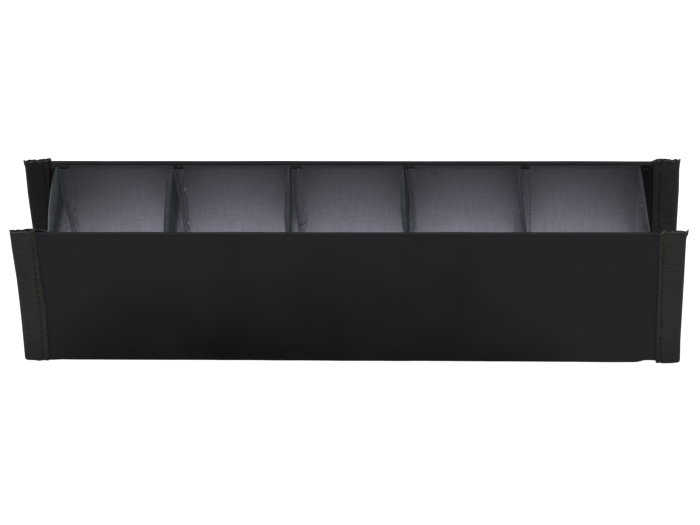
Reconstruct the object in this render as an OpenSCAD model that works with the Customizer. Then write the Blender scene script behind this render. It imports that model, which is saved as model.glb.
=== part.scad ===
// Strip light shaper: two stiffened cloth leaves with a sewn egg-crate grid between them.
// A round tube lamp sits in the arches under the grid, held by an elastic strap at each end,
// and shines up through the cells.
// The leaves stay parallel while the grid shears sideways, so the whole shaper folds flat.
// X runs along the leaves, the front leaf is on -Y, and the shaper stands on its straps at Z = 0.

/* [Leaves] */
// Height of each leaf
leaf_h = 56; // [50:1:70]
// Clear distance between the two leaves, which takes the lamp
leaf_gap = 41.4; // [38:0.2:50]
// Length of the stiffening board in each leaf
board_len = 214; // [213:0.5:216]
// Thickness of the stiffening board
board_t = 1; // [0.8:0.1:1.5]
// Thickness of the leaf cloth
cloth_t = 0.4; // [0.3:0.05:0.6]
// Unstiffened hem below the board
hem_h = 3; // [2:0.5:5]

/* [End tapes] */
// Visible width of the folded ribbon at each leaf end
tape_w = 10; // [8:0.5:14]
// Thickness of one ribbon ply
tape_t = 0.5; // [0.4:0.05:0.7]
// How far the cut top end of the ribbon stands above the leaf
tape_rise = 1.2; // [0.2:0.1:2]

/* [Lamp] */
// Diameter of the tube lamp that the shaper fits
lamp_d = 38; // [37:0.5:38]
// Height of the lamp's axis above the straps' underside
lamp_z = 20.2; // [20.2:0.1:21]

/* [Grid] */
// Number of light cells
cells = 5; // [5:1:5]
// Distance from one divider to the next
cell_pitch = 42; // [40:0.5:42]
// Depth of the grid at the leaves, from its top edge to its bottom edge
grid_depth = 32; // [28:1:33]
// Thickness of the woven grid wall on each leaf
wall_t = 0.5; // [0.4:0.1:0.8]
// Thickness of a folded, two-layer divider
divider_t = 0.9; // [0.6:0.1:1.2]
// Width of the flange that sews a divider to the wall
flange_w = 3.8; // [3:0.2:5]

/* [Straps] */
// Width of each elastic strap
strap_w = 7; // [6:0.5:7]
// Thickness of each elastic strap
strap_t = 1; // [0.8:0.1:1.5]

/* [Hidden] */
$fn = 48;

strap_gap = 0.3;      // running gap between a strap and the leaf above it
pivot_gap = 0.3;      // running gap between a divider's end fold and the grid wall
grid_drop = 0.5;        // grid wall's top edge below the leaf's top edge
divider_drop = 0.3;   // divider's top and bottom edges inside those of the grid wall
flange_t = 0.4;
flange_gap = 0.35;    // running gap between a divider's end fold and the flange beside it
seam_gap = 0.1;       // grid wall's and outermost flange's ends short of the ribbon seam
tape_lap = 4.5;       // leaf cloth held inside the folded ribbon
seat_gap = 0.1;       // all round between the lamp and the arches under the grid

leaf_t = board_t + 2 * cloth_t;
inner_y = leaf_gap / 2;
outer_y = inner_y + leaf_t;
leaf_z = strap_t + strap_gap;
top_z = leaf_z + leaf_h;
seam_x = board_len / 2 + 0.5;
cloth_x = seam_x + tape_lap;
tape_x = seam_x + tape_w;
wall_y = inner_y - wall_t;
pivot_y = wall_y - divider_t / 2 - pivot_gap;
wall_top = top_z - grid_drop;
wall_z = wall_top - grid_depth;
first_x = -cells * cell_pitch / 2;
wall_x = seam_x - seam_gap;
strap_x = seam_x + strap_w / 2;
seat_r = lamp_d / 2 + seat_gap;

// A box from its lowest corner to its highest corner.
module block(low, high) {
    translate(low) cube(high - low);
}

// Everything on the rear leaf is the front leaf's piece turned half a turn about Z.
module rear() {
    rotate([0, 0, 180]) children();
}

// Outer cloth: the face, turned over the top edge and under the hem.
module outer_skin() {
    color([0.10, 0.10, 0.11]) union() {
        block([-cloth_x, -outer_y, leaf_z], [cloth_x, cloth_t - outer_y, top_z]);
        block([-cloth_x, -outer_y, top_z - cloth_t], [cloth_x, -inner_y, top_z]);
        block([-cloth_x, -outer_y, leaf_z], [cloth_x, -inner_y, leaf_z + cloth_t]);
    }
}

module board() {
    color([0.75, 0.75, 0.72])
        block([-board_len / 2, cloth_t - outer_y, leaf_z + hem_h],
              [board_len / 2, -inner_y - cloth_t, top_z - cloth_t]);
}

module lining() {
    color([0.08, 0.08, 0.09])
        block([-cloth_x, -inner_y - cloth_t, leaf_z + cloth_t], [cloth_x, -inner_y, top_z - cloth_t]);
}

// Ribbon folded round a leaf end: two plies and a round fold. side is -1 at the left, 1 at the right.
module binding(side) {
    fold_r = leaf_t / 2 + tape_t;
    mid_y = -(inner_y + outer_y) / 2;
    fold_x = tape_x - fold_r;
    color([0.16, 0.16, 0.14])
        translate([0, 0, leaf_z]) linear_extrude(leaf_h + tape_rise) difference() {
            union() {
                translate([side > 0 ? seam_x : -fold_x, mid_y - fold_r]) square([fold_x - seam_x, 2 * fold_r]);
                translate([side * fold_x, mid_y]) circle(fold_r);
            }
            translate([side > 0 ? seam_x - 1 : -fold_x, mid_y - leaf_t / 2])
                square([fold_x - seam_x + 1, leaf_t]);
            translate([side * fold_x, mid_y]) circle(leaf_t / 2);
        }
}

// Woven wall of the grid, from one ribbon seam to the other.
module grid_wall() {
    color([0.42, 0.41, 0.45])
        block([-wall_x, -inner_y, wall_z], [wall_x, -wall_y, wall_top]);
}

// Flanges sewn to the wall, one on the left of each divider's pivot line.
// The outermost one is trimmed at the ribbon seam.
module divider_flanges() {
    color([0.14, 0.14, 0.16])
        for (i = [0:cells]) {
            edge_x = first_x + i * cell_pitch - divider_t / 2 - flange_gap;
            block([max(edge_x - flange_w, -wall_x), -wall_y, wall_z + divider_drop],
                  [edge_x, flange_t - wall_y, wall_top - divider_drop]);
        }
}

// A link from one pivot line to the other. Its ends are round about the pivot lines.
module link(width, high) {
    linear_extrude(high) {
        square([width, 2 * pivot_y], center = true);
        for (s = [-1, 1]) translate([0, s * pivot_y]) circle(width / 2);
    }
}

// One grid divider, numbered from the left: a plate with an arch for the lamp under it.
module divider(n) {
    color([0.22, 0.23, 0.25])
        translate([first_x + (n - 1) * cell_pitch, 0, 0]) difference() {
            translate([0, 0, wall_z + divider_drop]) link(divider_t, grid_depth - 2 * divider_drop);
            translate([0, 0, lamp_z]) rotate([0, 90, 0]) cylinder(h = 4 * divider_t, r = seat_r, center = true);
        }
}

// Elastic strap under both leaves. side is -1 at the left, 1 at the right.
module strap(side) {
    color([0.09, 0.09, 0.09]) translate([side * strap_x, 0, 0]) link(strap_w, strap_t);
}

outer_skin();  // front_outer_skin
board();  // front_board
lining();  // front_lining
binding(-1);  // front_left_binding
binding(1);  // front_right_binding
grid_wall();  // front_grid_wall
divider_flanges();  // front_divider_flanges
rear() outer_skin();  // rear_outer_skin
rear() board();  // rear_board
rear() lining();  // rear_lining
rear() binding(1);  // rear_left_binding
rear() binding(-1);  // rear_right_binding
rear() grid_wall();  // rear_grid_wall
rear() divider_flanges();  // rear_divider_flanges
divider(1);  // divider_1
divider(2);  // divider_2
divider(3);  // divider_3
divider(4);  // divider_4
divider(5);  // divider_5
divider(6);  // divider_6
strap(-1);  // strap_left
strap(1);  // strap_right
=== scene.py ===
"""Strip light shaper: two stiffened black cloth leaves, end ribbons, and a sewn fabric grid between them.

All shapes are made in millimetres in the CAD frame and scaled to metres when a mesh is built.
"""

import math

import bpy
import numpy as np
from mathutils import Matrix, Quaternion, Vector


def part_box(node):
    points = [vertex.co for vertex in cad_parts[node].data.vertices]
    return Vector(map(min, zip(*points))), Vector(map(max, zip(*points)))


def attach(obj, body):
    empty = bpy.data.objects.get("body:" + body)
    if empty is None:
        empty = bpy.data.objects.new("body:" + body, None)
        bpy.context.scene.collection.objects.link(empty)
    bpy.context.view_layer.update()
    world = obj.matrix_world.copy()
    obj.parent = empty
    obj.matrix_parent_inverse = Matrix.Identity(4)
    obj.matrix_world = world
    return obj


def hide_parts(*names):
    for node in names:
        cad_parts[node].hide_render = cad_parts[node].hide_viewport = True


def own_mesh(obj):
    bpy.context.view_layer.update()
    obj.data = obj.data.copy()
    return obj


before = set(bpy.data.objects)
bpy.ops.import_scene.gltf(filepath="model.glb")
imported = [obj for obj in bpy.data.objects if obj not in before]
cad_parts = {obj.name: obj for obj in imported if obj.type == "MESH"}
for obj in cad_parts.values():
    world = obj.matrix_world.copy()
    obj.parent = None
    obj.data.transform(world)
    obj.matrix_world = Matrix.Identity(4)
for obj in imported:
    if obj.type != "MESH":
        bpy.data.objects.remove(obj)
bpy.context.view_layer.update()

MM = 0.001
FRONT, REAR = -1, 1
LEFT, RIGHT = -1, 1
LEAF_BODY = {FRONT: "front_leaf", REAR: "rear_leaf"}
LEAF_NAME = {FRONT: "front", REAR: "rear"}
SIDE_NAME = {LEFT: "left", RIGHT: "right"}


def node_box(name):
    """Lowest and highest corner of a CAD node, in millimetres."""
    low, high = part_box(name)
    return np.array(low) / MM, np.array(high) / MM


# Levels of the rear leaf and the grid, from the CAD nodes, in millimetres. The front leaf mirrors the rear.
skin_low, skin_high = node_box("rear_outer_skin")
wall_low, wall_high = node_box("rear_grid_wall")
flange_low = node_box("rear_divider_flanges")[0]
tape_low, tape_high = node_box("rear_right_binding")
LEAF_TOP, LEAF_FOOT = skin_high[2], skin_low[2]
INNER_Y, OUTER_Y = skin_low[1], skin_high[1]
CLOTH_X = skin_high[0]
SEAM_X, TAPE_X = tape_low[0], tape_high[0]
DIVIDERS = range(1, 7)
DIVIDER_X = [float(sum(b[0] for b in node_box(f"divider_{n}")) / 2) for n in DIVIDERS]
CELL = DIVIDER_X[1] - DIVIDER_X[0]
GRID_END = DIVIDER_X[-1]
GRID_TOP = node_box("divider_1")[1][2]
RIB_PITCH = 0.75  # of the ribbons' grosgrain


# ---- mesh tools


def waves(a, b, seed, size, count=6):
    """Smooth unevenness from -1 to 1 over two coordinates, with features of about this size."""
    rng = np.random.default_rng(seed)
    total = np.zeros(np.broadcast(a, b).shape)
    for _ in range(count):
        angle, phase = rng.uniform(0, 2 * np.pi, 2)
        k = 2 * np.pi / (size * rng.uniform(0.6, 1.7))
        total = total + np.sin(k * (a * np.cos(angle) + b * np.sin(angle)) + phase)
    return total / count * 1.4


def smooth(t):
    """0 below 0, 1 above 1 and a smooth step between them."""
    t = np.clip(t, 0, 1)
    return t * t * (3 - 2 * t)


def line(at, points):
    """A value at each place of a table of (place, value)."""
    places, values = zip(*sorted(points))
    return np.interp(at, places, values)


def bump_at(x, centre, width):
    """1 at the centre, fading out over this width."""
    return np.exp(-(((x - centre) / width) ** 2))


def placed(name, data):
    """A new object in the scene."""
    made = bpy.data.objects.new(name, data)
    bpy.context.scene.collection.objects.link(made)
    return made


def build(name, co, quads, uv, material, attribute=None):
    """An object from vertices in millimetres, four-sided faces, a UV and maybe a shade per vertex."""
    mesh = bpy.data.meshes.new(name)
    mesh.vertices.add(len(co))
    mesh.vertices.foreach_set("co", (co * MM).astype(np.float32).ravel())
    mesh.loops.add(quads.size)
    mesh.loops.foreach_set("vertex_index", quads.astype(np.int32).ravel())
    mesh.polygons.add(len(quads))
    mesh.polygons.foreach_set("loop_start", np.arange(0, quads.size, 4, dtype=np.int32))
    mesh.update(calc_edges=True)
    layer = mesh.uv_layers.new(name="cloth")
    layer.data.foreach_set("uv", uv[quads.ravel()].astype(np.float32).ravel())
    if attribute is not None:
        shade = mesh.attributes.new("shade", "FLOAT", "POINT")
        shade.data.foreach_set("value", attribute.astype(np.float32))
    mesh.polygons.foreach_set("use_smooth", np.ones(len(quads), bool))
    mesh.materials.append(material)
    mesh.update()
    return placed(name, mesh)


RIM_ROUND = 0.8  # how far a ply's rim stands out, as a share of half its thickness


def ply_mesh(mid, thick, uv):
    """Vertices, faces and UVs of a closed cloth ply of this thickness round the surface mid[i, j]."""
    nu, nv = mid.shape[:2]
    du, dv = np.gradient(mid, axis=0), np.gradient(mid, axis=1)
    normal = np.cross(du, dv)
    normal /= np.linalg.norm(normal, axis=2, keepdims=True)
    half = np.broadcast_to(np.asarray(thick, float) / 2, (nu, nv))[..., None]
    du = du / np.linalg.norm(du, axis=2, keepdims=True)
    dv = dv / np.linalg.norm(dv, axis=2, keepdims=True)
    i, j = np.arange(nu), np.arange(nv)
    loop_i = np.concatenate([0 * j, i[1:], 0 * j[1:] + nu - 1, i[-2:0:-1]])
    loop_j = np.concatenate([j, 0 * i[1:] + nv - 1, j[-2::-1], 0 * i[-2:0:-1]])
    out = np.zeros((len(loop_i), 3))
    for sign, on, along in (
        (-1, loop_i == 0, du), (1, loop_i == nu - 1, du), (-1, loop_j == 0, dv), (1, loop_j == nv - 1, dv),
    ):
        out[on] += sign * along[loop_i[on], loop_j[on]]
    out /= np.linalg.norm(out, axis=1, keepdims=True)
    rim = mid[loop_i, loop_j] + out * half[loop_i, loop_j] * RIM_ROUND
    co = np.concatenate([(mid + normal * half).reshape(-1, 3), (mid - normal * half).reshape(-1, 3), rim])
    index = np.arange(nu * nv).reshape(nu, nv)
    a, b, c, d = index[:-1, :-1], index[1:, :-1], index[1:, 1:], index[:-1, 1:]
    front = np.stack([a, b, c, d], -1).reshape(-1, 4)
    back = np.stack([a, d, c, b], -1).reshape(-1, 4) + nu * nv
    edge = index[loop_i, loop_j]
    after = np.roll(edge, -1)
    r = np.arange(len(edge)) + 2 * nu * nv
    r_after = np.roll(r, -1)
    side_1 = np.stack([edge, after, r_after, r], -1)
    side_2 = np.stack([r, r_after, after + nu * nv, edge + nu * nv], -1)
    flat = uv.reshape(-1, 2)
    return co, np.concatenate([front, back, side_1, side_2]), np.concatenate([flat, flat, flat[edge]])


def joined(parts):
    """Several (vertices, faces, UVs) as one."""
    start, co, quads, uv = 0, [], [], []
    for c, q, u in parts:
        co.append(c)
        quads.append(q + start)
        uv.append(u)
        start += len(c)
    return np.concatenate(co), np.concatenate(quads), np.concatenate(uv)


def arc_lengths(mid):
    """UV of a grid in millimetres: length along j and length along i, measured on the cloth."""
    step_i = np.linalg.norm(np.diff(mid, axis=0), axis=2)
    step_j = np.linalg.norm(np.diff(mid, axis=1), axis=2)
    v = np.concatenate([np.zeros((1, mid.shape[1])), np.cumsum(step_i, 0)])
    u = np.concatenate([np.zeros((mid.shape[0], 1)), np.cumsum(step_j, 1)], 1)
    return np.stack([u, v], -1)


THREAD_SIDES = 6
THREAD_RINGS = np.array([0.0, 0.12, 0.32, 0.5, 0.68, 0.88, 1.0])
THREAD_RADII = np.array([0.35, 0.8, 1.0, 1.0, 1.0, 0.8, 0.35])
THREAD_TWIST = 1.2  # radians along a stitch
# A stitch's middle stands out of the cloth and its ends sink into it, in thread radii.
THREAD_ARCH, THREAD_SUNK = 1.35, 0.75


def threads(name, stitches, material, seed, body):
    """One object of sewn stitches. Each stitch is (start, end, outward normal, thread radius)."""
    rng = np.random.default_rng(seed)
    start, end, normal = (np.array([s[k] for s in stitches], float) for k in range(3))
    radius = np.array([s[3] for s in stitches])[:, None]
    along = end - start
    along /= np.linalg.norm(along, axis=1, keepdims=True)
    normal = normal - (normal * along).sum(1, keepdims=True) * along
    normal /= np.linalg.norm(normal, axis=1, keepdims=True)
    across = np.cross(along, normal)
    rings = []
    for t, r in zip(THREAD_RINGS, THREAD_RADII):
        lift = radius * (THREAD_ARCH * math.sin(math.pi * t) ** 0.5 - THREAD_SUNK)
        centre = start + (end - start) * t + normal * lift
        for k in range(THREAD_SIDES):
            angle = 2 * math.pi * k / THREAD_SIDES + THREAD_TWIST * t
            rings.append(centre + radius * r * (math.cos(angle) * normal + math.sin(angle) * across))
    per = len(THREAD_RINGS) * THREAD_SIDES
    co = np.stack(rings, 1).reshape(-1, 3)
    quads, last = [], per - THREAD_SIDES
    for low in range(0, last, THREAD_SIDES):
        high = low + THREAD_SIDES
        for k in range(THREAD_SIDES):
            k2 = (k + 1) % THREAD_SIDES
            quads.append([low + k, low + k2, high + k2, high + k])
    quads += [[0, 3, 2, 1], [0, 5, 4, 3]]
    quads += [[last + k for k in corners] for corners in ((0, 1, 2, 3), (0, 3, 4, 5))]
    one = np.array(quads)
    quads = (one[None] + per * np.arange(len(stitches))[:, None, None]).reshape(-1, 4)
    shade = np.repeat(rng.random(len(stitches)), per)
    uv = np.stack([co[:, 0] + co[:, 1], co[:, 2]], -1)
    obj = build(name, co, quads, uv, material, shade)
    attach(obj, body)
    return obj


def dashes(points, normal, length, gap, radius, seed=0, wander=0.06):
    """Stitches along a path of points, each with this length and gap."""
    rng = np.random.default_rng(seed)
    points = np.array(points, float)
    run = np.concatenate([[0], np.cumsum(np.linalg.norm(np.diff(points, axis=0), axis=1))])
    starts = np.arange(gap, run[-1] - length, length + gap)
    ends = starts + length
    at = [np.stack([np.interp(x, run, points[:, k]) for k in range(3)], -1) for x in (starts, ends)]
    normal = np.array(normal, float)
    sideways = np.cross(points[-1] - points[0], normal)
    sideways /= np.linalg.norm(sideways)
    shift = rng.normal(0, wander, (len(starts), 2))
    return [
        (at[0][k] + sideways * shift[k, 0], at[1][k] + sideways * shift[k, 1], normal, radius)
        for k in range(len(starts))
    ]


# ---- materials


class Tree:
    """A material and short calls for its nodes."""

    def __init__(self, name):
        self.material = bpy.data.materials.new(name)
        self.material.use_nodes = True
        self.nodes, self.links = self.material.node_tree.nodes, self.material.node_tree.links
        self.nodes.clear()

    def node(self, kind, sockets=None, **settings):
        made = self.nodes.new("ShaderNode" + kind)
        for key, value in settings.items():
            setattr(made, key, value)
        for key, value in (sockets or {}).items():
            if isinstance(value, bpy.types.NodeSocket):
                self.links.new(value, made.inputs[key])
            else:
                made.inputs[key].default_value = value
        return made

    def math(self, operation, a, b=0.0, c=0.0):
        return self.node("Math", {0: a, 1: b, 2: c}, operation=operation).outputs[0]

    def times(self, a, b):
        return self.math("MULTIPLY", a, b)

    def plus(self, a, b):
        return self.math("ADD", a, b)

    def mix(self, factor, a, b, **settings):
        """A colour between a and b."""
        return self.node("Mix", {"Factor": factor, 6: a, 7: b}, data_type="RGBA", **settings).outputs[2]

    def ramp(self, value, low, high, to_low=0.0, to_high=1.0):
        sockets = {"Value": value, "From Min": low, "From Max": high, "To Min": to_low, "To Max": to_high}
        return self.node("MapRange", sockets).outputs["Result"]

    def noise(self, vector, scale, detail=3.0, roughness=0.5):
        sockets = {"Vector": vector, "Scale": scale, "Detail": detail, "Roughness": roughness}
        return self.node("TexNoise", sockets).outputs["Fac"]

    def split(self, vector):
        """The three coordinates of a vector."""
        parts = self.node("SeparateXYZ", {"Vector": vector}).outputs
        return parts["X"], parts["Y"], parts["Z"]

    def stretched(self, vector, factors):
        """A vector with each coordinate times its factor."""
        return self.node("VectorMath", {0: vector, 1: factors}, operation="MULTIPLY").outputs[0]

    def stripes(self, at, pitch):
        """A sine wave of this pitch."""
        return self.math("SINE", self.times(at, 2 * math.pi / pitch))

    def shade(self):
        """The mesh's own shade value."""
        return self.node("Attribute", attribute_name="shade").outputs["Fac"]

    def cloth_uv(self):
        """The cloth's own coordinates in millimetres: the vector, along and across."""
        uv = self.node("UVMap", uv_map="cloth").outputs["UV"]
        return uv, *self.split(uv)[:2]

    def object_mm(self):
        """The place on the object in millimetres."""
        place = self.node("TexCoord").outputs["Object"]
        scaled = self.node("VectorMath", {0: place, "Scale": 1000.0}, operation="SCALE")
        return scaled.outputs["Vector"]

    def weave(self, u, v, pitch_u, pitch_v):
        """A plain weave: the height of the threads, and 1 where the warp lies on top."""
        a = self.math("SINE", self.times(u, math.pi / pitch_u))
        b = self.math("SINE", self.times(v, math.pi / pitch_v))
        product = self.times(a, b)
        height = self.math("POWER", self.math("ABSOLUTE", product), 0.6)
        return height, self.ramp(product, -0.25, 0.25)

    def finish(self, height, bump_mm, strength, colour, rough, specular=0.5, sockets=None):
        """The shader, with its bump height in millimetres, and the output."""
        bump = self.node("Bump", {"Height": height, "Distance": bump_mm * MM, "Strength": strength})
        shader = self.node("BsdfPrincipled", {
            "Base Color": colour, "Roughness": rough, "Specular IOR Level": specular,
            "Normal": bump.outputs["Normal"], **(sockets or {}),
        })
        self.node("OutputMaterial", {"Surface": shader.outputs[0]})
        return self.material


def rgb(*values):
    return (*values, 1.0)


def toned(tone, values):
    """A colour with its three values times the tone."""
    return rgb(*(tone * value for value in values))


def outer_cloth():
    """Black book cloth, fine weave with slubs: paler ends, painted light at the top, painted light and a
    painted highlight on the turned rim.
    """
    t = Tree("outer_cloth")
    uv, u, v = t.cloth_uv()
    height, warp = t.weave(u, v, 0.42, 0.34)
    place = t.object_mm()
    x, y, z = t.split(place)
    slub = t.noise(t.stretched(uv, (0.25, 3.0, 1.0)), 1.0, 2.0)
    cloud = t.noise(place, 0.03, 3.0)
    # Paler towards the top: painted light from above. Paler towards the ends and in random patches.
    painted_top_light_and_tone = t.ramp(z, LEAF_FOOT, LEAF_TOP - 12)
    ends = t.ramp(t.math("ABSOLUTE", t.plus(x, 18.0)), 60.0, 124.0, 0.0, 0.9)
    painted_top_light_and_tone = t.plus(t.times(painted_top_light_and_tone, 0.75), ends)
    painted_top_light_and_tone = t.plus(painted_top_light_and_tone, t.ramp(cloud, 0.3, 0.7, 0.06, 0.36))
    colour = t.mix(painted_top_light_and_tone, rgb(0.0008, 0.0009, 0.0011), rgb(0.0166, 0.0176, 0.0196))
    pale = t.mix(0.25, colour, rgb(0.024, 0.026, 0.030))
    colour = t.mix(t.times(warp, t.ramp(slub, 0.3, 0.7, 0.1, 0.5)), colour, pale)
    # Paler on the turned cloth inside, as painted light over its shade, and on the top edge, as a painted
    # highlight.
    turned = t.ramp(t.math("ABSOLUTE", y), INNER_Y + 0.3, INNER_Y + 0.6, 0.8, 0.0)
    rim = t.math("MAXIMUM", turned, t.ramp(z, LEAF_TOP - 0.3, LEAF_TOP, 0.0, 0.9))
    colour = t.mix(rim, colour, rgb(0.050, 0.054, 0.058))
    rough = t.ramp(slub, 0.2, 0.8, 0.55, 0.68)
    height = t.plus(height, t.times(slub, 0.8))
    return t.finish(height, 0.05, 0.55, colour, rough, 0.03)


def inner_cloth():
    """Plain black nylon of the lining."""
    t = Tree("inner_cloth")
    uv, u, v = t.cloth_uv()
    height, warp = t.weave(u, v, 0.55, 0.55)
    cloud = t.noise(uv, 0.12, 4.0)
    colour = t.mix(warp, rgb(0.005, 0.005, 0.006), rgb(0.011, 0.011, 0.012))
    colour = t.mix(t.ramp(cloud, 0.4, 0.8, 0.0, 0.5), colour, rgb(0.018, 0.018, 0.020))
    rough = t.ramp(cloud, 0.2, 0.8, 0.62, 0.8)
    return t.finish(height, 0.06, 0.6, colour, rough, 0.15)


def tab_cloth():
    """Jet black tape of the tabs, dark pieces for the shade under the turned edge, and of the last divider's
    flange.
    """
    t = Tree("tab_cloth")
    uv, u, v = t.cloth_uv()
    height = t.weave(u, v, 0.4, 0.4)[0]
    lint = t.noise(uv, 1.8, 4.0)
    colour = t.mix(t.ramp(lint, 0.4, 0.8, 0.0, 0.6), rgb(0.0030, 0.0032, 0.0036), rgb(0.016, 0.017, 0.019))
    rough = t.ramp(lint, 0.2, 0.8, 0.7, 0.9)
    return t.finish(height, 0.06, 0.6, colour, rough, 0.1)


def ribbon_cloth(name, tone):
    """Olive black grosgrain. Its ribs are in the mesh; this adds painted shade and light on them, the warp
    threads, lint, hot-cut ends with a painted highlight, and a darker foot.
    """
    t = Tree(name)
    uv, u, v = t.cloth_uv()
    z = t.split(t.object_mm())[2]
    lint = t.noise(uv, 1.6, 5.0, 0.65)
    cloud = t.noise(uv, 0.16, 2.0)
    # The tone makes this ribbon a lighter or darker copy of the same grosgrain: painted light and shade.
    rib_shade, rib_highlight = toned(tone, (0.0030, 0.0030, 0.0028)), toned(tone, (0.0250, 0.0250, 0.0234))
    # Painted shade in the rib hollows and painted light on the rib crowns.
    colour = t.mix(t.ramp(t.stripes(v, RIB_PITCH), -1.0, 1.0), rib_shade, rib_highlight)
    colour = t.mix(t.ramp(lint, 0.52, 0.78, 0.0, 0.5), colour, toned(tone, (0.034, 0.034, 0.031)))
    colour = t.mix(t.ramp(cloud, 0.45, 0.75, 0.0, 0.4), colour, toned(tone, (0.0100, 0.0100, 0.0095)))
    # Pale beads at the hot-cut top: real melted ends with a painted highlight.
    singed_glint = t.times(t.shade(), t.ramp(lint, 0.40, 0.62))
    colour = t.mix(singed_glint, colour, rgb(0.17, 0.17, 0.15))
    # Darker towards the foot.
    darker_to_foot = t.ramp(z, LEAF_FOOT, LEAF_FOOT + 14, 0.45, 0.0)
    colour = t.mix(darker_to_foot, colour, rgb(0.0055, 0.0055, 0.0052))
    height = t.plus(t.times(t.stripes(u, 0.34), 0.35), lint)
    rough = t.ramp(lint, 0.3, 0.7, 0.72, 0.9)
    return t.finish(height, 0.05, 0.7, colour, rough, 0.12)


def grid_colour(t, dark, pale):
    """The light cells' cloth: silky purple-grey; painted light from below, painted shade under the top edge
    and by the dividers, darker ends.
    """
    x, _, z = t.split(t.object_mm())
    # Paler towards the bottom: painted light from below.
    colour = t.mix(t.ramp(z, GRID_TOP - 29, GRID_TOP - 1), rgb(*pale), rgb(*dark))
    # Painted shade beside the dividers, and darker towards the ends of the grid.
    in_cell = t.math("FRACT", t.math("DIVIDE", t.plus(x, 10 * CELL - DIVIDER_X[0]), CELL))
    from_middle = t.math("ABSOLUTE", t.math("SUBTRACT", in_cell, 0.56))
    divider_shade = t.times(t.math("POWER", from_middle, 2.0), 1.3)
    far = t.ramp(t.math("ABSOLUTE", x), GRID_END - 34, GRID_END - 4, 0.0, 0.5)
    far_left = t.ramp(x, 34 - GRID_END, 13 - GRID_END, 0.0, 0.5)
    divider_shade_and_darker_ends = t.math("MAXIMUM", divider_shade, t.math("MAXIMUM", far, far_left))
    colour = t.mix(divider_shade_and_darker_ends, colour, toned(0.55, dark))
    # Painted shadow under the leaf's top edge.
    top = t.ramp(z, LEAF_TOP - 2.4, LEAF_TOP - 0.7, 0.0, 0.75)
    return t.mix(top, colour, toned(0.28, dark))


def grid_cloth():
    """The light cells' walls: a visible square weave, silky along its threads."""
    t = Tree("grid_cloth")
    uv, u, v = t.cloth_uv()
    height, warp = t.weave(u, v, 0.74, 0.74)
    ends = t.noise(t.stretched(uv, (1.9, 0.12, 1.0)), 1.0, 3.0, 0.7)
    picks = t.noise(t.stretched(uv, (0.12, 1.9, 1.0)), 1.0, 3.0, 0.7)
    uneven = t.plus(t.times(ends, 0.55), t.times(picks, 0.45))
    # Its colour holds grid_colour's painted light from below and painted shade.
    body = grid_colour(t, (0.098, 0.094, 0.118), (0.44, 0.43, 0.55))
    streak = t.mix(t.ramp(uneven, 0.36, 0.64), rgb(0.78, 0.78, 0.78), rgb(1.17, 1.17, 1.17))
    colour = t.mix(1.0, body, streak, blend_type="MULTIPLY")
    speck = t.noise(uv, 1.3, 4.0, 0.7)
    gaps = t.times(t.ramp(height, 0.0, 0.5, 0.42, 0.0), t.ramp(speck, 0.35, 0.6))
    colour = t.mix(gaps, colour, rgb(0.060, 0.058, 0.072))
    rough = t.ramp(uneven, 0.3, 0.7, 0.36, 0.5)
    height = t.plus(t.times(height, t.ramp(warp, 0.0, 1.0, 0.8, 1.0)), uneven)
    return t.finish(height, 0.05, 0.5, colour, rough, 0.9)


def divider_cloth(name, lit_below, shaded_above, pale):
    """Grey-green coated cloth: painted sheen on the top fold, painted shade on its right side and below it,
    pale lower down as painted light from below, with painted shade in its creases.
    """
    t = Tree(name)
    uv, u, v = t.cloth_uv()
    place = t.object_mm()
    height = t.weave(u, v, 0.5, 0.5)[0]
    z = t.split(place)[2]
    speck = t.noise(uv, 1.3, 4.0, 0.7)
    cloud = t.noise(place, 0.10, 3.0)
    grain = t.noise(uv, 4.0, 3.0, 0.6)
    # Pale low down: painted light from below. Dark higher up under the fold: painted shade.
    high = t.ramp(t.plus(z, t.times(speck, 4.0)), lit_below, shaded_above)
    body = t.mix(high, rgb(*pale), rgb(0.030, 0.038, 0.047))
    # Painted shade in diagonal creases.
    slant = t.node("Mapping", {
        "Vector": t.stretched(place, (0.3, 0.55, 0.40)), "Rotation": (0.7, 0.0, 0.0), "Scale": (1, 0.3, 4.5),
    })
    crease_shade = t.noise(slant.outputs[0], 1.0, 2.0)
    body = t.mix(t.ramp(crease_shade, 0.40, 0.60, 0.6, 0.0), body, rgb(0.060, 0.064, 0.078))
    body = t.mix(t.ramp(speck, 0.35, 0.60, 0.4, 0.0), body, rgb(0.036, 0.042, 0.052))
    body = t.mix(t.ramp(speck, 0.60, 0.72, 0.0, 0.45), body, rgb(0.30, 0.30, 0.34))
    # The top fold's grey-green: a painted sheen from the light above.
    top = t.mix(t.ramp(cloud, 0.35, 0.65), rgb(0.062, 0.075, 0.082), rgb(0.096, 0.111, 0.119))
    # Darker towards the fold's right side: painted shade.
    across = t.plus(t.shade(), t.ramp(speck, 0.3, 0.7, -0.3, 0.3))
    top = t.mix(t.ramp(across, -0.1, 1.0, 0.0, 0.85), top, rgb(0.024, 0.036, 0.044))
    top = t.mix(t.ramp(grain, 0.35, 0.65, 0.4, 0.0), top, rgb(0.035, 0.044, 0.050))
    colour = t.mix(t.ramp(z, GRID_TOP - 2.6, GRID_TOP - 1.3), body, top)
    rough = t.ramp(speck, 0.3, 0.7, 0.5, 0.62)
    height = t.plus(height, t.times(speck, 1.2))
    return t.finish(height, 0.05, 0.5, colour, rough, 0.35)


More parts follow.
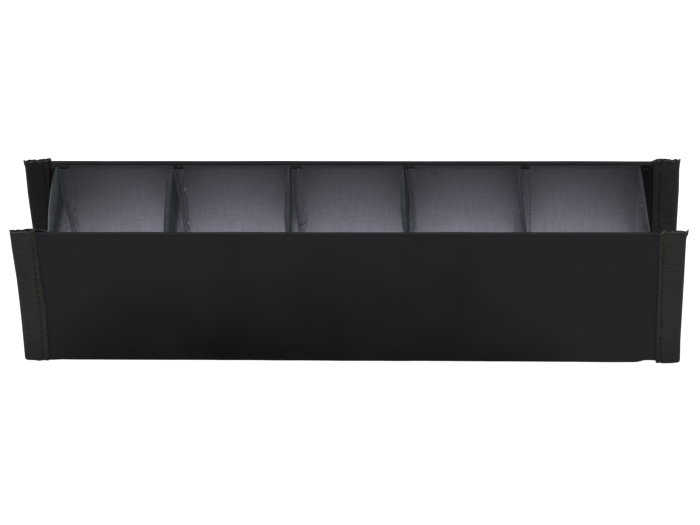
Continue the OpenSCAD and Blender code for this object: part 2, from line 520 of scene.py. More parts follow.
def flange_cloth():
    """The light cells' cloth again at a divider's flange, cut on the bias, pricked and speckled, with a
    painted shadow along its crease.
    """
    t = Tree("flange_cloth")
    uv, u, v = t.cloth_uv()
    height, warp = t.weave(t.plus(u, v), t.math("SUBTRACT", u, v), 0.80, 0.80)
    speck = t.noise(uv, 1.1, 4.0, 0.7)
    # Its colour holds grid_colour's painted light from below and painted shade.
    body = grid_colour(t, (0.150, 0.146, 0.180), (0.46, 0.45, 0.56))
    colour = t.mix(t.times(warp, 0.30), body, rgb(0.060, 0.062, 0.076))
    colour = t.mix(t.ramp(speck, 0.50, 0.34, 0.0, 0.6), colour, rgb(0.028, 0.034, 0.042))
    colour = t.mix(t.ramp(speck, 0.60, 0.70, 0.0, 0.5), colour, rgb(0.30, 0.30, 0.35))
    # Painted shadow along the crease by the divider.
    crease = t.ramp(t.plus(u, t.times(speck, 1.6)), 0.8, 3.2, 0.75, 0.0)
    colour = t.mix(crease, colour, rgb(0.024, 0.034, 0.042))
    rough = t.ramp(speck, 0.3, 0.7, 0.5, 0.7)
    height = t.plus(height, t.times(speck, 1.5))
    return t.finish(height, 0.07, 0.6, colour, rough, 0.7)


def elastic_cloth():
    """Black knitted elastic: lengthwise ribs in the mesh, fine cross threads here."""
    t = Tree("elastic")
    uv, u, _ = t.cloth_uv()
    cross = t.stripes(u, 0.5)
    fuzz = t.noise(uv, 2.2, 5.0, 0.6)
    colour = t.mix(t.ramp(cross, -1.0, 1.0), rgb(0.006, 0.006, 0.007), rgb(0.020, 0.020, 0.021))
    colour = t.mix(t.ramp(fuzz, 0.55, 0.8, 0.0, 0.6), colour, rgb(0.045, 0.045, 0.045))
    height = t.plus(t.times(cross, 0.5), fuzz)
    rough = t.ramp(fuzz, 0.3, 0.7, 0.75, 0.92)
    return t.finish(height, 0.07, 0.7, colour, rough, 0.25)


def board_plastic():
    """Grey polypropylene stiffening board, with the drag lines of its extrusion."""
    t = Tree("stiffener")
    place = t.object_mm()
    drag = t.noise(t.stretched(place, (0.05, 1.0, 2.5)), 1.0, 3.0)
    cloud = t.noise(place, 0.08, 3.0)
    colour = t.mix(t.ramp(cloud, 0.3, 0.7), rgb(0.42, 0.42, 0.40), rgb(0.55, 0.55, 0.52))
    rough = t.ramp(drag, 0.3, 0.7, 0.38, 0.55)
    return t.finish(drag, 0.03, 0.5, colour, rough)


def thread_fibre(name, dark, pale, share):
    """Twisted sewing thread. A share of the stitches catches the light and looks pale."""
    t = Tree(name)
    uv, u, v = t.cloth_uv()
    twist = t.stripes(t.plus(u, v), 0.22)
    fuzz = t.noise(uv, 4.0, 3.0)
    lit = t.ramp(t.shade(), 1.0 - share, 1.0 - share * 0.4)
    colour = t.mix(lit, rgb(*dark), rgb(*pale))
    colour = t.mix(t.ramp(fuzz, 0.5, 0.8, 0.0, 0.4), colour, toned(0.5, pale))
    rough = t.ramp(fuzz, 0.3, 0.7, 0.35, 0.55)
    return t.finish(twist, 0.03, 0.6, colour, rough, 0.1)


M_OUTER, M_INNER, M_GRID = outer_cloth(), inner_cloth(), grid_cloth()
# Both divider cloths hold painted light and shade; in the second the painted light from below reaches higher.
M_DIVIDER = divider_cloth("divider_cloth", GRID_TOP - 21, GRID_TOP - 12, (0.50, 0.49, 0.60))
M_HIGH_LIT_DIVIDER = divider_cloth("high_lit_divider_cloth", GRID_TOP - 18, GRID_TOP + 2, (0.34, 0.33, 0.41))
M_FLANGE, M_TAB, M_ELASTIC, M_BOARD = flange_cloth(), tab_cloth(), elastic_cloth(), board_plastic()
M_BLACK_THREAD = thread_fibre("black_thread", (0.0050, 0.0050, 0.0050), (0.030, 0.030, 0.030), 0.25)
M_GREY_THREAD = thread_fibre("grey_thread", (0.13, 0.13, 0.155), (0.72, 0.72, 0.80), 0.4)


# ---- leaves

SKIN_PLY = 0.4
TOP_TURN, HEM_TURN = 0.5, 0.3  # radii of the cloth's turns over the top edge and at the foot
TOP_RISE = {FRONT: 0.08, REAR: 0.25}  # how far the cloth's top stands above the CAD's
HEM_DROP = 0.35
HEM_SLOPE = 0.0058  # the hem hangs this much lower for each millimetre to the right
HEM_STITCH_Z = LEAF_FOOT + 4.8
SEAM_CLEAR = 2.0  # the leaf's face between the ribbons starts this far in from the seams


def skin_profile():
    """The outer cloth's section, as (distance out from the inner face, height): over the top, down, under."""
    deep, mid = OUTER_Y - INNER_Y, SKIN_PLY / 2
    face, top, foot = deep - mid, LEAF_TOP - mid, LEAF_FOOT + mid
    profile = [(mid, top - 1.9), (mid, top - 0.6)]
    for out, start in ((mid + TOP_TURN, 180), (face - TOP_TURN, 90)):
        for angle in np.radians(start - np.linspace(0, 90, 7)):
            height = top - TOP_TURN + TOP_TURN * math.sin(angle)
            profile.append((out + TOP_TURN * math.cos(angle), height))
    profile += [(face, height) for height in np.linspace(top - TOP_TURN - 1.0, foot + 3.0, 44)]
    for angle in np.radians(np.linspace(0, -90, 7)):
        out = face - 0.1 - HEM_TURN * (1 - math.cos(angle))
        profile.append((out, foot + HEM_TURN * (1 + math.sin(angle))))
    return np.array(profile + [(0.6, foot), (0.35, foot)])


def outer_skin(leaf):
    """The leaf's outer cloth: turned over the top edge, down the face, and under the hem."""
    profile = skin_profile()
    open_x = SEAM_X - SEAM_CLEAR
    x = np.concatenate([
        np.linspace(-CLOTH_X, -open_x, 8)[:-1], np.linspace(-open_x, open_x, 200),
        np.linspace(open_x, CLOTH_X, 8)[1:],
    ])
    out, z = (np.repeat(profile[:, k : k + 1], len(x), 1) for k in (0, 1))
    xx = np.repeat(x[None], len(profile), 0)
    seed = 11 if leaf == FRONT else 12
    on_face = smooth((out - (OUTER_Y - INNER_Y) * 0.6) / 0.4)
    out += 0.07 * on_face * waves(xx, z * 1.5, seed, 60.0) + 0.025 * on_face * waves(xx, z, seed + 20, 9.0)
    z += smooth((z - LEAF_TOP + 3) / 3) * (TOP_RISE[leaf] + 0.06 * waves(xx, 0 * xx, seed + 40, 35.0))
    drop = (HEM_DROP + HEM_SLOPE * xx) * (1 - smooth((np.abs(xx) - SEAM_X + 5) / 4))
    z += smooth((LEAF_FOOT + 3 - z) / 3) * (0.06 * waves(xx, 0 * xx, seed + 50, 24.0) - drop)
    surface = np.stack([xx, leaf * (INNER_Y + out), z], -1)
    if leaf == REAR:
        surface[..., 0] *= -1
    lengths = arc_lengths(surface)
    co, quads, uv = ply_mesh(surface, SKIN_PLY, lengths)
    name = LEAF_NAME[leaf]
    skin = build(f"{name}_outer_cloth", co, quads, uv, M_OUTER)
    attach(skin, LEAF_BODY[leaf])
    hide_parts(f"{name}_outer_skin")


def lining(leaf):
    """Black cloth on the leaf's inner face, under the grid wall and down to the hem."""
    x = np.linspace(-CLOTH_X, CLOTH_X, 180)
    z = np.linspace(LEAF_FOOT + 0.5, LEAF_TOP - 0.6, 44)
    zz, xx = np.meshgrid(z, x, indexing="ij")
    seed = 31 if leaf == FRONT else 32
    y = INNER_Y + 0.2 + 0.05 * waves(xx, zz, seed, 22.0)
    surface = np.stack([xx, leaf * y, zz], -1)
    co, quads, uv = ply_mesh(surface, 0.3, arc_lengths(surface))
    name = LEAF_NAME[leaf]
    cloth = build(f"{name}_lining_cloth", co, quads, uv, M_INNER)
    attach(cloth, LEAF_BODY[leaf])
    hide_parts(f"{name}_lining")
    path = [(px, leaf * (INNER_Y + 0.03), HEM_STITCH_Z) for px in x[6:-6]]
    sewn = dashes(path, (0, -leaf, 0), 2.5, 0.7, 0.15, seed)
    seams = threads(f"{name}_lining_stitches", sewn, M_BLACK_THREAD, seed, LEAF_BODY[leaf])


# Each divider's cloth, in millimetres to the right of its pivot line: the fold of its top edge as
# (place between the leaves, left edge, right edge), the crease where it meets the rear wall as
# (height, place), and the free edge of its flange there as (height, place). It is sewn unevenly by hand.
FOLDS = [
    [(20, -0.3, 1.0), (10, -1.0, 2.0), (0, -0.9, 2.5), (-7, -0.7, 2.5), (-19, 0.1, 2.6)],
    [(20, -0.6, 0.1), (12, -2.0, 0.4), (-12, -1.9, 0.8), (-19, -1.6, 1.0)],
    [(20, -1.2, 0.0), (9, -1.5, 0.4), (-9, -1.7, 0.9), (-19, -1.0, 0.8)],
    [(20, -1.7, -1.3), (17, -2.5, -1.0), (-2, -2.8, -0.5), (-14, -2.3, -0.3), (-19, -1.8, -0.4)],
    [(20, -2.4, -1.8), (11, -2.9, -1.6), (-2, -2.8, -1.5), (-19, -2.1, -1.0)],
    [(22, -1.1, -0.5), (13, -1.6, -0.1), (-12, -1.8, -0.1), (-19, -1.5, 0.0)],
]
CREASES = [
    [(55, 0.6), (45, 1.1), (40, 1.7), (30, 3.4)],
    [(55, -0.3), (46, 0.8), (39, 1.7), (28, 2.8)],
    [(56, 0.0), (42, 0.2), (33, 1.8), (28, 2.5)],
    [(56, -1.3), (49, -0.1), (42, 0.7), (28, 1.3)],
    [(56, -2.0), (28, -2.2)],
    [(57, -1.1), (42, -0.8), (28, -0.6)],
]
FLANGE_EDGES = [
    [(57, 4.5), (38, 5.9), (28, 6.5)],
    [(56, 3.3), (39, 4.9), (28, 5.2)],
    [(55, 3.9), (42, 5.0), (33, 5.9), (28, 5.2)],
    [(56, 2.7), (44, 3.6), (28, 3.4)],
    [(56, 1.9), (46, 2.8), (24, 3.4)],
    [(57, 3.3), (24, 3.5)],
]
# The thread's radius along each flange's free edge. The second is coarse, and the last flange has none.
EDGE_THREAD = [0.07, 0.17, 0.05, 0.04, 0.08]
# The ends of the black tab at each flange's top, from the divider's pivot line, and which are sewn across.
TABS = [(-0.3, 4.5), (-0.3, 3.4), (0.4, 3.8), (-1.5, 2.7), (-1.7, 1.8), (-0.4, 2.9)]
TABS_SEWN = (2, 3, 5)
# The third divider's loose thread, as two lengths from its pivot line and the inner face, at these heights.
LOOSE_THREAD = [((2.0, -1.15, 30.2), (3.9, -1.35, 31.1)), ((3.8, -1.35, 31.05), (6.0, -1.1, 32.6))]
LOOSE_AT, DARK_THREAD_AT, BLACK_FLANGE_AT = 2, 4, 5
FLANGE_PLY, TAB_PLY = 0.3, 0.28
FLANGE_TOP = LEAF_TOP - 0.95
SEAM_Y = INNER_Y - 0.88  # the stitches lie on the flanges


def grid_wall(leaf):
    """The woven wall behind the cells, puckered a little at each flange's stitching."""
    x = np.linspace(DIVIDER_X[0] + 0.2, DIVIDER_X[-1] - 0.1, 250)
    z = np.linspace(wall_low[2], LEAF_TOP - 0.85, 64)
    zz, xx = np.meshgrid(z, x, indexing="ij")
    seed = 51 if leaf == FRONT else 52
    inwards = 0.06 * waves(xx, zz, seed, 14.0)
    for centre, edge in zip(DIVIDER_X, FLANGE_EDGES):
        seam = centre + line(zz, edge) - 0.7
        inwards += 0.05 * bump_at(xx, seam, 1.6) * np.sin(2 * np.pi * zz / 3.1)
    top = smooth((zz - z[-1] + 0.6) / 0.6)
    y = INNER_Y - 0.22 - np.clip(inwards, -0.1, 0.1) * (1 - top) + 0.08 * top
    surface = np.stack([xx, y, zz], -1)
    if leaf == FRONT:
        surface[..., :2] *= -1
    co, quads, uv = ply_mesh(surface, 0.3 - 0.2 * top, arc_lengths(surface))
    name = LEAF_NAME[leaf]
    cloth = build(f"{name}_grid_cloth", co, quads, uv, M_GRID)
    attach(cloth, LEAF_BODY[leaf])
    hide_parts(f"{name}_grid_wall")
    return cloth


def flange_strip(n, heights):
    """A divider's seam allowance on the rear wall, from its crease to its free edge."""
    zz, share = np.meshgrid(heights, np.linspace(0, 1, 22), indexing="ij")
    crease = DIVIDER_X[n] + line(zz, CREASES[n]) + 0.32
    edge = DIVIDER_X[n] + line(zz, FLANGE_EDGES[n]) + 0.08 * waves(zz, 0 * zz, 70 + n, 2.2)
    edge = np.minimum(edge, SEAM_X + 0.8)
    x = crease + (edge - crease) * share
    y = INNER_Y - 0.5 - 0.22 - 0.45 * np.exp(-(x - crease) / 0.3)
    y -= 0.07 * waves(x, zz, 80 + n, 3.0) * np.sin(np.pi * share)
    return np.stack([x, y, zz], -1)


def flange_tab(n):
    """The black tab at a flange's top end, under the rear leaf's turned edge: a dark piece put in for the
    shade there.
    """
    path = np.array([(-0.95, -1.50), (-0.98, -1.25), (-0.85, -1.10), (-0.5, -1.00), (0.1, -1.05)])
    path += (INNER_Y, LEAF_TOP)
    run = np.linspace(0, len(path) - 1, 14)
    y, z = (np.interp(run, range(len(path)), path[:, k]) for k in (0, 1))
    left, right = (DIVIDER_X[n] + end for end in TABS[n])
    yy, xx = np.meshgrid(y, np.linspace(left, right, 20), indexing="ij")
    zz = z[:, None] + 0.08 * waves(xx, yy, 60 + n, 2.5)
    return np.stack([xx, yy, zz], -1)


def flange_seam(n, edges, offset, heights):
    """A line of stitching on the rear wall, this far to the right of a divider's crease or free edge."""
    x = [DIVIDER_X[n] + float(line(h, edges[n])) + offset for h in heights]
    return np.array([(px, SEAM_Y, h) for px, h in zip(x, heights)])


def flanges(leaf, wall):
    """The dividers' seam allowances on one wall, their stitching, and the black tabs at their tops."""
    turn = np.array([1, 1, 1]) if leaf == REAR else np.array([-1, -1, 1])
    facing = (0, -leaf, 0)
    heights = np.linspace(flange_low[2], FLANGE_TOP, 64)
    cut, black_cut, sewn, dark_sewn, tab_sewn = [], [], [], [], []
    for n, centre in enumerate(DIVIDER_X):
        strip = flange_strip(n, heights) * turn
        goes_to = black_cut if n == BLACK_FLANGE_AT else cut
        goes_to.append(ply_mesh(strip, FLANGE_PLY, arc_lengths(strip)))
        if n != BLACK_FLANGE_AT:
            seam = flange_seam(n, FLANGE_EDGES, -0.35, heights[::2]) * turn
            goes_to = dark_sewn if n == DARK_THREAD_AT else sewn
            goes_to += dashes(seam, facing, 1.5, 0.35, EDGE_THREAD[n], 90 + n, 0.09)
        # The pricks of the seam in the crease.
        seam = flange_seam(n, CREASES, 1.1, heights[16::2]) * turn
        dark_sewn += dashes(seam, facing, 0.35, 1.0, 0.10, 190 + n, 0.12)
        if n == LOOSE_AT:
            shift = np.array([centre, INNER_Y, 0])
            dark_sewn += [((a + shift) * turn, (b + shift) * turn, facing, 0.11) for a, b in LOOSE_THREAD]
        tab = flange_tab(n) * turn
        black_cut.append(ply_mesh(tab, TAB_PLY, arc_lengths(tab)))
        if n in TABS_SEWN:
            left, right = (centre + end for end in TABS[n])
            x = np.linspace(left + 0.4, right + 0.5, 12)
            seam = np.array([(px, INNER_Y - 1.0, LEAF_TOP - 1.62) for px in x]) * turn
            tab_sewn += dashes(seam, (0, -leaf, 0.4), 1.0, 0.25, 0.08, 290 + n, 0.04)
    name, body = LEAF_NAME[leaf], LEAF_BODY[leaf]
    cloth = build(f"{name}_flanges", *joined(cut), M_FLANGE)
    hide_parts(f"{name}_divider_flanges")
    black = build(f"{name}_flange_tabs", *joined(black_cut), M_TAB)
    for piece in (cloth, black):
        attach(piece, body)
    stitched = threads(f"{name}_flange_stitches", sewn, M_GREY_THREAD, 7, body)
    pricked = threads(f"{name}_crease_stitches", dark_sewn, M_BLACK_THREAD, 9, body)
    across = threads(f"{name}_tab_stitches", tab_sewn, M_GREY_THREAD, 8, body)


# Each ribbon, in millimetres. By depth below the leaf's top: how far its folded end and its plies' edges lie
# outwards of the CAD's, and how far in from those edges the stitches run. By distance from the ply's edge:
# how far its cut top stands above the leaf's top, and its foot below RIBBON_FOOT. The ear is how far its top
# corner sticks out. The tone multiplies the grosgrain's colours: painted light and shade, per ribbon.
RIBBONS = {
    (FRONT, LEFT): {
        "tone": 1.5,
        "end": [(0, 0.1), (7, -0.2), (20, -1.0), (29, -1.3), (38, -1.5), (55, -1.7)],
        "outer_edge": [(0, 1.4), (5, 1.3), (20, 0.6), (31, -0.4), (55, -0.1)],
        "inner_edge": [(0, -2.7), (20, -2.2), (55, -1.0)],
        "stitch_in": [(0, 0.8), (28, 2.0)],
        "outer_top": [(0, 2.3), (2, 1.8), (8, 1.3)],
        "inner_top": [(0, 0.1), (2.5, 0.3), (3.2, 0.8), (5, 0.8), (8, 0.6), (10, 0.7)],
        "foot": [(0, -0.6), (10, -0.9)],
        "ear": 0.2,
    },
    (FRONT, RIGHT): {
        "tone": 1.6,
        "end": [(0, -0.1), (3, -0.3), (20, 0.1), (47, 0.6), (55, 1.0)],
        "outer_edge": [(0, 0.5), (24, 1.3), (44, 2.0), (55, 2.5)],
        "inner_edge": [(0, 0.2), (55, 0.9)],
        "stitch_in": [(0, 1.4), (55, 1.5)],
        "outer_top": [(0, 1.0), (1.5, 1.6), (3, 1.9), (4.5, 1.6), (8.6, 1.7)],
        "inner_top": [(0, 0.0), (3, 0.4), (4.5, 0.1), (8.5, 0.1), (10, 0.6)],
        "foot": [(0, 0.4), (3, 0.6), (10, 0.1)],
        "ear": 0.5,
    },
    (REAR, LEFT): {
        "tone": 1.1,
        "end": [(0, -1.0), (3, -1.4), (14, -1.6), (29, -2.4), (55, -2.7)],
        "outer_edge": [(0, -0.5), (55, -1.0)],
        "inner_edge": [(0, -0.5), (5, 0.1), (18, 0.6), (28, 0.8)],
        "stitch_in": [(0, 1.9), (11, 1.1), (55, 1.6)],
        "outer_top": [(0, 0.6), (1.5, 0.6), (4, 0.1), (10, -0.2)],
        "inner_top": [(0, 2.3), (0.5, 1.7), (1.5, 1.4), (8, 1.1), (10, 0.9)],
        "foot": [(0, 0.0)],
    },
    (REAR, RIGHT): {
        "tone": 1.65,
        "end": [(0, 1.2), (3, 1.1), (11, 1.5), (29, 1.8), (55, 2.2)],
        "outer_edge": [(0, 1.4), (28, 2.0), (55, 2.4)],
        "inner_edge": [(0, 1.5), (28, 2.8), (55, 3.0)],
        "stitch_in": [(0, 2.3), (55, 2.4)],
        "outer_top": [(0, -0.2), (1, 0.1), (2, 0.6), (5, 0.6), (6.2, 0.3), (10, 0.4)],
        "inner_top": [(0, 1.1), (1.5, 1.7), (5, 1.9), (7, 1.6), (9, 1.7)],
        "foot": [(0, 0.0)],
    },
}
TAPE_PLY = 0.42
RIB_RELIEF = 0.15
RIBBON_HALF = (OUTER_Y - INNER_Y) / 2 + TAPE_PLY / 2 + 0.05  # from the leaf's middle to the middle of a ply
RIBBON_FOOT, RIBBON_TOP = LEAF_FOOT - 0.15, LEAF_TOP + 1.5  # before its ends are shaped
CUT_FROM = LEAF_TOP - 1.5  # above this the rows follow the cut, and below it the ribs stay level


def ribbon_section(end_x, seam_out, seam_in):
    """Row by row over the outer ply, turn and inner ply: x, y from the middle, x from the ply's edge."""
    flat, turn = np.linspace(0, 1, 40), np.linspace(0, math.pi, 13)[1:-1]
    outer = seam_out[:, None] + (end_x - seam_out)[:, None] * flat
    round_end = end_x[:, None] + RIBBON_HALF * np.sin(turn)
    inner = end_x[:, None] + (seam_in - end_x)[:, None] * flat
    y = np.concatenate([0 * flat + RIBBON_HALF, RIBBON_HALF * np.cos(turn), 0 * flat - RIBBON_HALF])
    at_end = np.repeat((end_x - seam_out)[:, None], len(turn), 1)
    from_seam = np.concatenate([outer - seam_out[:, None], at_end, inner - seam_in[:, None]], 1)
    return np.concatenate([outer, round_end, inner], 1), np.repeat(y[None], len(end_x), 0), from_seam


def ribbon(leaf, side):
    """Grosgrain folded round the end of a leaf, its ribs level, its top end cut hot and uneven."""
    spec = RIBBONS[leaf, side]
    seed = 400 + 10 * (leaf + 1) + (side + 1)
    rows = np.arange(RIBBON_FOOT, RIBBON_TOP + 0.001, RIB_PITCH / 5)
    depth = LEAF_TOP - rows
    end_x = TAPE_X + line(depth, spec["end"]) - RIBBON_HALF
    seam_out = SEAM_X + line(depth, spec["outer_edge"])
    seam_in = SEAM_X + line(depth, spec["inner_edge"]) + 0.1 * waves(rows, 0 * rows, seed + 1, 14.0)
    x, y, from_seam = ribbon_section(end_x, seam_out, seam_in)
    outer = y > 0
    z = np.repeat(rows[:, None], x.shape[1], 1)
    rib = np.cos(2 * np.pi * z / RIB_PITCH)
    # The cut end and the foot.
    cut = np.where(outer, line(from_seam, spec["outer_top"]), line(from_seam, spec["inner_top"]))
    ragged = 0.14 * waves(from_seam, 3 * outer, seed + 2, 1.0)
    ragged = ragged + 0.10 * waves(from_seam, 5 * outer, seed + 3, 0.42)
    top_at = LEAF_TOP + cut + ragged
    cut_z = CUT_FROM + (z - CUT_FROM) * (top_at - CUT_FROM) / (RIBBON_TOP - CUT_FROM)
    z = np.where(z > CUT_FROM, cut_z, z)
    low = smooth((RIBBON_FOOT + 2.5 - z) / 2.5)
    z -= low * (line(from_seam, spec["foot"]) + 0.06 * waves(from_seam, 0 * z, seed + 4, 1.0))
    # Selvedge loops, the dent along the stitching, and unevenness.
    x -= 0.07 * rib * np.exp(-from_seam / 0.35)
    lift = 0.05 + 0.05 * waves(from_seam, z, seed + 5, 7.0) + 0.03 * waves(from_seam, z, seed + 6, 2.4)
    lift -= 0.20 * bump_at(from_seam, line(depth, spec["stitch_in"])[:, None], 0.4)
    near_top = smooth((z - LEAF_TOP + 1.6) / 1.6)
    lift += near_top * (0.10 + 0.18 * waves(from_seam, 3 * outer, seed + 7, 2.8))
    y += np.where(np.abs(y) >= RIBBON_HALF - 1e-9, np.sign(y) * lift, 0)
    if "ear" in spec:
        x += spec["ear"] * near_top**1.6 * smooth((from_seam - 7.0) / 2.0)
        y += near_top**1.6 * 0.5 * smooth((from_seam - 7.5) / 1.5)
    thick = TAPE_PLY - RIB_RELIEF / 2 + RIB_RELIEF * (0.5 + 0.5 * rib)
    thick = thick * (1 + 0.35 * bump_at(z, top_at, 0.3)) * (1 - 0.25 * np.exp(-from_seam / 0.15))
    middle = (INNER_Y + OUTER_Y) / 2
    surface = np.stack([side * x, leaf * (middle + y), z], -1)
    below_cut = top_at - z
    if leaf * side > 0:
        surface, thick, below_cut = surface[:, ::-1], thick[:, ::-1], below_cut[:, ::-1]
    # The ribs' painted shade and light are level too: the second coordinate is the height.
    uv = arc_lengths(surface)
    uv[..., 1] = surface[..., 2]
    below_cut = ply_mesh(surface, thick, np.stack([below_cut, 0 * below_cut], -1))[2][:, 0]
    # Near the cut top: where the melted ends get their painted highlight.
    singed_glint = smooth((0.5 - below_cut) / 0.35) * 0.75
    name = f"{LEAF_NAME[leaf]}_{SIDE_NAME[side]}"
    cloth = ribbon_cloth(f"{name}_grosgrain", spec["tone"])
    tape = build(f"{name}_ribbon", *ply_mesh(surface, thick, uv), cloth, singed_glint)
    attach(tape, LEAF_BODY[leaf])
    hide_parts(f"{name}_binding")
    sewn = []
    heights = np.arange(RIBBON_FOOT + 1.0, LEAF_TOP - 0.3, 0.5)
    for outside, seam_x in ((1, seam_out), (-1, seam_in)):
        at = np.interp(heights, rows, seam_x + line(depth, spec["stitch_in"]))
        stitch_y = leaf * (middle + outside * (RIBBON_HALF + TAPE_PLY / 2 - 0.06))
        path = [(side * ax, stitch_y, h) for ax, h in zip(at, heights)]
        sewn += dashes(path, (0, leaf * outside, 0), 1.6, 1.0, 0.14, seed + outside, 0.07)
    seams = threads(f"{name}_ribbon_stitches", sewn, M_BLACK_THREAD, seed, LEAF_BODY[leaf])


# ---- grid dividers and straps

LAMP_Z = 20.2  # height of the lamp's axis
ARCH_R = 16.9  # with no lamp in it, the cloth's cut edge hangs 2 mm inside the CAD arch
PLY = 0.36
PLY_GAP = 0.2  # half the distance between the plies below the fold
STITCH_BELOW = 3.6  # the seam that holds the plies together runs this far below the fold's top


def fold_edges(n, y):
    """The left and right edge of a divider's top fold at these places between the leaves, smoothed."""
    kernel = np.hanning(13) / np.hanning(13).sum()
    edges = (line(y, [(fold[0], fold[side]) for fold in FOLDS[n - 1]]) for side in (1, 2))
    return (np.convolve(np.pad(edge, 6, mode="edge"), kernel, "valid") for edge in edges)


def divider_middle(n, y, z, centre, reach, top):
    """How far the middle of a divider's cloth lies from its pivot line, left or right, at each point."""
    at_crease = line(z, CREASES[n - 1])
    weight = smooth((top - 2.5 - z) / 13.0)
    middle = centre * (1 - weight) + at_crease * (y + reach) / (2 * reach) * weight
    # At the wall the whole height follows the crease.
    at_wall = smooth((y - 15.5) / 4.5) * smooth((top - 1.5 - z) / 2.0)
    middle = middle * (1 - at_wall) + at_crease * at_wall
    sag = smooth((top - 4 - z) / 8) * np.cos(np.clip(y / reach, -1, 1) * np.pi / 2) ** 0.7
    middle = middle + 0.35 * sag * waves(y, z, 520 + n, 16.0) + 0.12 * sag * waves(y, z, 540 + n, 5.0)
    # Puckers where the cloth is sewn in by the wall.
    corner = smooth((38 - z) / 9) * smooth((y - 7) / 6) * smooth((20.2 - y) / 1.5)
    pucker = np.sin(2 * np.pi * (0.8 * z + 0.6 * y) / 1.9 + 1.5 * waves(y, z, 560 + n, 4.0))
    return middle + 0.16 * corner * pucker


def divider(n):
    """A doubled cloth: up the left ply, over the soft fold, down the right ply, arched below for the lamp."""
    pivot = DIVIDER_X[n - 1]
    low, high = node_box(f"divider_{n}")
    reach = high[1] + 0.15
    outer = 15 + (reach - 15) * np.linspace(0, 1, 26)[1:]
    y = np.concatenate([-outer[::-1], np.linspace(-15, 15, 70), outer])
    left, right = fold_edges(n, y)
    centre, half = (left + right) / 2, np.maximum((right - left) / 2 - PLY / 2, PLY_GAP + 0.02)
    rise = np.minimum(half * 1.1, 1.25)
    fold_z = high[2] - PLY / 2 - rise + 0.05 * waves(y, 0 * y, 500 + n, 9.0)
    arch_z = np.where(np.abs(y) < ARCH_R, LAMP_Z + np.sqrt(np.maximum(ARCH_R**2 - y**2, 0)), 0)
    foot = np.maximum(low[2] + 0.1, arch_z) + 0.15
    rows = np.linspace(0, 1, 54) ** 0.85
    over = np.linspace(math.pi, 0, 17)[1:-1]
    up = foot[None] + (fold_z - foot)[None] * rows[:, None]
    top = fold_z[None] + rise[None] * np.sin(over)[:, None]
    z = np.concatenate([up, top, up[::-1]])
    sign = np.concatenate([-np.ones(len(rows)), np.cos(over), np.ones(len(rows))])[:, None]
    spread = np.where(z >= fold_z[None], 1.0, np.exp(-(((fold_z[None] - z) / 1.7) ** 2)))
    gap = PLY_GAP + (half[None] - PLY_GAP) * spread
    yy = np.repeat(y[None], len(z), 0)
    middle = divider_middle(n, yy, z, centre[None], reach, high[2])
    surface = np.stack([pivot + middle + sign * gap, yy, z], -1)
    co, quads, uv = ply_mesh(surface, PLY, arc_lengths(surface))
    # The shade runs from -1 on the fold's left edge to 1 on its right edge; it places the painted shade on
    # the right side.
    across = (co[:, 0] - pivot - np.interp(co[:, 1], y, centre)) / np.interp(co[:, 1], y, half)
    # The last two dividers take the cloth whose painted light from below reaches higher.
    fabric = M_DIVIDER if n < 5 else M_HIGH_LIT_DIVIDER
    cloth = build(f"divider_{n}_cloth", co, quads, uv, fabric, np.clip(across, -1, 1))
    body = f"divider_{n}"
    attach(cloth, body)
    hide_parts(body)
    sewn = []
    row = int(np.argmin(np.abs(up[:, len(y) // 2] - (high[2] - STITCH_BELOW))))
    for s, at_row in ((-1, row), (1, len(z) - 1 - row)):
        path = surface[at_row, 6:-6] + np.array([s * PLY / 2, 0, 0])
        sewn += dashes(path, (s, 0, 0), 2.0, 1.0, 0.12, 600 + n, 0.05)
    seams = threads(f"divider_{n}_stitches", sewn, M_GREY_THREAD, 610 + n, body)
    for piece in (cloth, seams):
        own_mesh(piece)


STRAP_SET_BACK = 1.5  # from the leaf's outer face to the strap's end under it
STRAP_THICK = 0.75
STRAP_RIB = 0.95


def strap(side):
    """Knitted elastic under both leaves, with lengthwise ribs and round ends."""
    name = f"strap_{SIDE_NAME[side]}"
    low, high = node_box(name)
    centre, half = (low + high) / 2, (high - low) / 2
    half[1] = OUTER_Y - STRAP_SET_BACK
    yy, tt = np.meshgrid(np.linspace(-1, 1, 150) * half[1], np.linspace(-1, 1, 48), indexing="ij")
    into_end = np.clip((np.abs(yy) - (half[1] - half[0])) / half[0], 0, 1)
    width = half[0] * np.sqrt(np.maximum(1 - into_end**2, 0.02))
    width = np.minimum(width, half[0] * (1 - 0.035 * (1 - into_end)))
    x = centre[0] + tt * width
    z = low[2] + STRAP_THICK / 2 + 0.03 + 0.03 * waves(x, yy, 700 + side, 11.0)
    surface = np.stack([x, yy, z], -1)[:, ::-1]
    ribs = 0.5 + 0.5 * np.cos(2 * np.pi * tt * half[0] / STRAP_RIB)
    thick = STRAP_THICK * (0.78 + 0.2 * ribs)[:, ::-1]
    co, quads, uv = ply_mesh(surface, thick, arc_lengths(surface))
    elastic = build(f"{name}_elastic", co, quads, uv, M_ELASTIC)
    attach(elastic, name)
    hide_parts(name)


# ---- the whole shaper

for leaf in (FRONT, REAR):
    outer_skin(leaf)
    lining(leaf)
    flanges(leaf, grid_wall(leaf))
    for side in (LEFT, RIGHT):
        ribbon(leaf, side)
    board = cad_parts[f"{LEAF_NAME[leaf]}_board"]
    board.data.materials.clear()
    board.data.materials.append(M_BOARD)
for n in DIVIDERS:
    divider(n)
for side in (LEFT, RIGHT):
    strap(side)


# ---- floor, light and camera

FLOOR_GLOW = 0.95
FLOOR_HALF = 6.0  # metres
WORLD_STRENGTH = 0.32


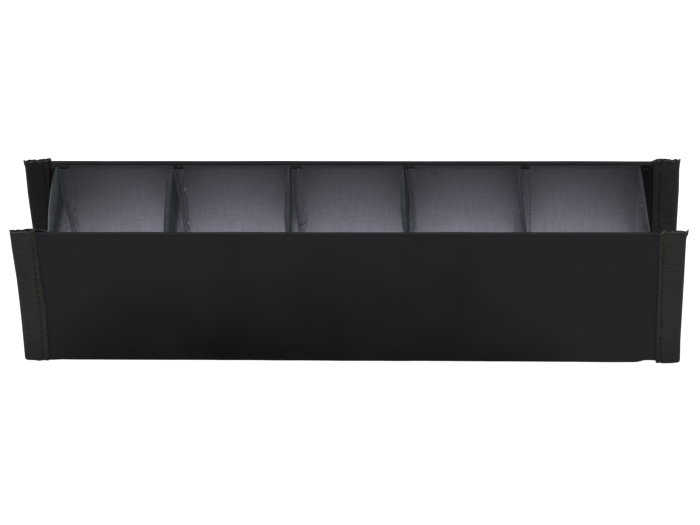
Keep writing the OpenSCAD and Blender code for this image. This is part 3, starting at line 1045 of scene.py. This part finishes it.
def floor():
    """A pale light table. It glows, so light also enters the cells from below."""
    mesh = bpy.data.meshes.new("floor")
    corners = [(FLOOR_HALF * x, FLOOR_HALF * y, 0) for x, y in ((-1, -1), (1, -1), (1, 1), (-1, 1))]
    mesh.from_pydata(corners, [], [(0, 1, 2, 3)])
    t = Tree("floor")
    grain = t.noise(t.object_mm(), 0.4, 3.0)
    colour = t.mix(t.ramp(grain, 0.3, 0.7), rgb(0.86, 0.86, 0.86), rgb(0.90, 0.90, 0.90))
    glow = {"Emission Color": rgb(1.0, 1.0, 1.0), "Emission Strength": FLOOR_GLOW}
    mesh.materials.append(t.finish(grain, 0.02, 0.2, colour, 0.7, sockets=glow))
    placed("floor", mesh)


def area_light(name, place, aim, size, power):
    """A rectangular soft light at a place, turned to the aim. Metres and watts."""
    data = bpy.data.lights.new(name, "AREA")
    data.shape, data.size, data.size_y, data.energy = "RECTANGLE", size[0], size[1], power
    made = placed(name, data)
    made.location = place
    made.rotation_mode = "QUATERNION"
    made.rotation_quaternion = (Vector(aim) - Vector(place)).to_track_quat("-Z", "Y")


floor()
world = bpy.data.worlds.new("studio")
world.use_nodes = True
backdrop = world.node_tree.nodes["Background"].inputs
backdrop["Color"].default_value = rgb(1.0, 1.0, 1.0)
backdrop["Strength"].default_value = WORLD_STRENGTH
bpy.context.scene.world = world
area_light("softbox_top", (0.0, -0.35, 1.5), (0, 0, 0), (1.6, 1.2), 3.0)
for side in (LEFT, RIGHT):
    area_light(f"softbox_{SIDE_NAME[side]}", (1.3 * side, -0.6, 0.8), (0, 0, 0.03), (0.9, 0.9), 1.2)

# The camera looks along +Y and down, from a little over a metre.
CAMERA_DOWN = math.radians(36.64)
CAMERA_ROLL = math.radians(0.03)
CAMERA_PLACE = (0.00042, -0.87081, 0.67614)
FOCAL_PIXELS = 3025.0
FRAME_WIDTH = 700
SENSOR = 36.0
camera_data = bpy.data.cameras.new("camera")
camera_data.sensor_width = SENSOR
camera_data.lens = FOCAL_PIXELS * SENSOR / FRAME_WIDTH
camera_data.clip_start, camera_data.clip_end = 0.05, 50.0
camera = placed("camera", camera_data)
camera.location = CAMERA_PLACE
camera.rotation_mode = "QUATERNION"
tilt = Quaternion((1, 0, 0), math.pi / 2 - CAMERA_DOWN)
camera.rotation_quaternion = tilt @ Quaternion((0, 0, 1), CAMERA_ROLL)
bpy.context.scene.camera = camera
bpy.context.scene.view_settings.view_transform = "Standard"
